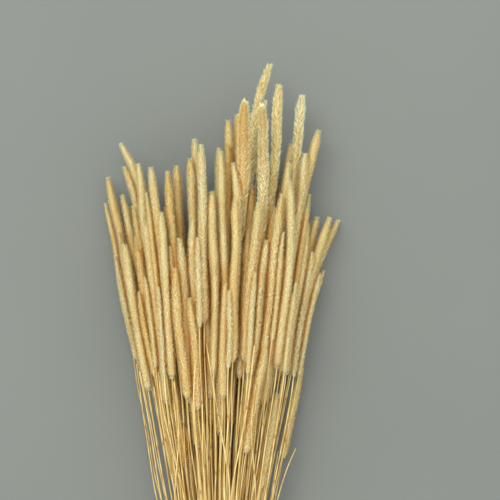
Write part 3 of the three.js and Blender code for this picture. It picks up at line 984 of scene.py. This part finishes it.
# %% Loose stems
# Each stem passes through (beyond the tie, across) points in millimetres, and ends at the last.
LOOSE_WAYS = [
    [(-150, -4), (0, 1), (155, 9), (210, -1), (252, -8)],
    [(-172, 5), (0, 3), (152, 9), (205, 20), (250, 25)],
    [(-166, -9), (0, -5), (140, -45), (200, -54), (236, -58)],
    [(-140, -6), (0, -4), (140, -40), (200, -49), (232, -55)],
    [(-175, -3), (0, -2), (140, -22), (205, -38), (232, -41)],
    [(-158, 2), (0, 0), (150, -12), (215, -17), (240, -15)],
    [(-169, 7), (0, 4), (140, 27), (195, 22), (225, 26)],
    [(-145, -2), (0, -3), (140, -31), (190, -26), (226, -30)],
    [(-181, 9), (0, 6), (100, 26), (140, 42), (160, 47), (175, 55)],
]
UNDER_BAND = 11.3 * MM  # the loose stems stay inside the band
NEAR = 3.5 * MM
pile_rows = []
for line in every_line:
    in_head = line["reach"] > line["base"]
    radius = np.where(in_head, line["radius"], STEM_RADIUS)
    pile_rows.append(np.column_stack([line["points"], radius]))
pile = np.concatenate(pile_rows)


def over_pile(x, y):
    """The height of a stem that lies on the pile here, or None where there is nothing under it."""
    here = (np.abs(pile[:, 0] - x) < NEAR) & (np.abs(pile[:, 1] - y) < NEAR)
    return (pile[here, 2] + pile[here, 3]).max() + STEM_RADIUS if here.any() else None


print("points of the pile to lie on:", len(pile))


# %% Laying them over the pile
def loose_line(way):
    """The line of a loose stem, over the pile and under the band."""
    way = np.array(way) * MM
    y = TIE.y + np.arange(way[0, 0], way[-1, 0], STEP)
    x = eased(np.interp(y, TIE.y + way[:, 0], TIE.x + way[:, 1]))
    z = np.zeros(len(y))
    height = TIE.z
    for i in range(len(y)):
        height = over_pile(x[i], y[i]) or height
        z[i] = height
    in_band = TIE.z + np.sqrt(UNDER_BAND**2 - (x - TIE.x).clip(-UNDER_BAND, UNDER_BAND) ** 2)
    z = np.where(np.abs(y - TIE.y) < 2 * EASE * STEP, np.minimum(z, in_band), z)
    line = line_through(np.stack([x, y, eased(z)], axis=1))
    line.update(bare=True, base=line["end"], shade=rng.uniform(0.4, 0.9))
    return line


loose_lines = [loose_line(way) for way in LOOSE_WAYS]
print("loose stems:", len(loose_lines), "- longest:", round(max(line["end"] for line in loose_lines), 3), "m")
loose_stems = grow_piece("loose_stems", loose_lines)

# The plain shapes that everything was made from are no longer needed.
for husk in (spike, pod):
    bpy.data.meshes.remove(husk.data)
bpy.data.objects.remove(husk_turn)
bpy.data.meshes.remove(tube_mesh)

# %% [markdown]
# ## The elastic band
# The band is a loop of natural rubber, wound round the waist several times. It could be one long
# spiral, but a ring for each turn looks the same and closes cleanly. Each turn is a rounded strip
# spun round the waist. The turns lie side by side with a slight tilt, as a band does that was
# stretched over the stems by hand, and one crosses over the others.

# %% Elastic band
BAND_TURNS = 5
STRAND_WIDTH = 1.9 * MM
STRAND_THICKNESS = 1.1 * MM
STRAND_ROUNDING = 0.35 * MM
BAND_STEPS = 72
BAND_THICKNESS = 2.0 * MM  # with the turn that crosses over
SIDE_BY_SIDE = 0.98 * STRAND_WIDTH
SETTLED = 0.9  # the crossing turn is lifted by this share of a strand's thickness
SMALL_TILT, CROSSING_TILT = 2.0, 11  # degrees
TILT_STEP, TWIST_STEP = 2.1, 1.3  # radians, from turn to turn
inner_radius = (tie_high.x - tie_low.x) / 2 - BAND_THICKNESS


def strand(tilt, twist, shift, lift):
    """One turn of the band: a rounded strip spun round the waist, then tilted and shifted along it."""
    bm = bmesh.new()
    bmesh.ops.create_grid(bm, x_segments=1, y_segments=1, size=0.5)
    bmesh.ops.scale(bm, verts=bm.verts, vec=(STRAND_THICKNESS, STRAND_WIDTH, 1))
    bmesh.ops.bevel(
        bm,
        geom=bm.verts[:],
        offset=STRAND_ROUNDING,
        segments=3,
        profile=0.5,
        affect="VERTICES",
        material=-1,
    )
    bmesh.ops.translate(bm, verts=bm.verts, vec=(inner_radius + lift + STRAND_THICKNESS / 2, 0, 0))
    section = bm.faces[:]
    outline_edges = bm.edges[:]
    bmesh.ops.delete(bm, geom=section, context="FACES_ONLY")
    bmesh.ops.spin(
        bm,
        geom=outline_edges,
        cent=(0, 0, 0),
        axis=(0, 1, 0),
        angle=2 * math.pi,
        steps=BAND_STEPS,
        use_merge=True,
    )
    bmesh.ops.remove_doubles(bm, verts=bm.verts, dist=MM / 100)
    bmesh.ops.recalc_face_normals(bm, faces=bm.faces)
    lean = Matrix.Rotation(twist, 4, "Y") @ Matrix.Rotation(tilt, 4, "X")
    bmesh.ops.transform(bm, matrix=lean, verts=bm.verts)
    bmesh.ops.translate(bm, verts=bm.verts, vec=(TIE.x, TIE.y + shift, TIE.z))
    return bm


band_mesh = bpy.data.meshes.new("elastic_band")
whole = bmesh.new()
for turn in range(BAND_TURNS):
    crossing = turn == BAND_TURNS - 1
    shift = 0 if crossing else (turn - (BAND_TURNS - 1) / 2) * SIDE_BY_SIDE + STRAND_WIDTH / 2
    tilt = math.radians(CROSSING_TILT if crossing else SMALL_TILT * math.sin(turn * TILT_STEP))
    lift = SETTLED * STRAND_THICKNESS if crossing else 0
    turn_mesh = bpy.data.meshes.new("turn")
    turn_bm = strand(tilt, turn * TWIST_STEP, shift, lift)
    turn_bm.to_mesh(turn_mesh)
    turn_bm.free()
    whole.from_mesh(turn_mesh)
    bpy.data.meshes.remove(turn_mesh)
whole.to_mesh(band_mesh)
whole.free()
band_mesh.polygons.foreach_set("use_smooth", np.ones(len(band_mesh.polygons), dtype=bool))
band = bpy.data.objects.new("elastic_band", band_mesh)
bpy.context.scene.collection.objects.link(band)
print("band:", len(band_mesh.polygons), "faces")

# %% [markdown]
# ## The material of the band
# Natural rubber is a dull tan. It gets paler and powdery where it has been stretched and handled,
# so its tone and its gloss change in soft clouds, and a fine grain breaks up its highlights.

# %% Material of the band
rubber, tree, shader = new_material("natural_rubber")
clouds = stretched_noise(tree, 160, 4, (1, 1, 1))
tan = ramp(tree, clouds, [(0.3, (0.46, 0.30, 0.14)), (0.7, (0.60, 0.43, 0.23))])
tree.links.new(tan, shader.inputs["Base Color"])
dull = ramp(tree, clouds, [(0.3, (0.5, 0.5, 0.5)), (0.7, (0.68, 0.68, 0.68))])
tree.links.new(dull, shader.inputs["Roughness"])
powder = stretched_noise(tree, 2400, 3, (1, 1, 1))
bump = add(tree, "ShaderNodeBump", {"Height": powder, "Strength": 0.25, "Distance": 0.05 * MM})
tree.links.new(bump.outputs["Normal"], shader.inputs["Normal"])
band_mesh.materials.append(rubber)
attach(band, "root")
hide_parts("tie_band")
print("nodes in the material of the band:", len(tree.nodes))

# %% [markdown]
# ## The size of the whole
# A visual model has to be as big as the imported one, or it would lie wrong where it is used. So how
# far the visual box passes the imported one is printed. The husks may stand out by a few millimetres and no
# more.

# %% Sizes and finish
bpy.context.view_layer.update()
visual_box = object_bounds()
passed_by = [round((visual_box[i][k] - cad_box[i][k]) / MM, 1) for i in (0, 1) for k in range(3)]
print("from the packed corners to the visual ones, mm:", passed_by)
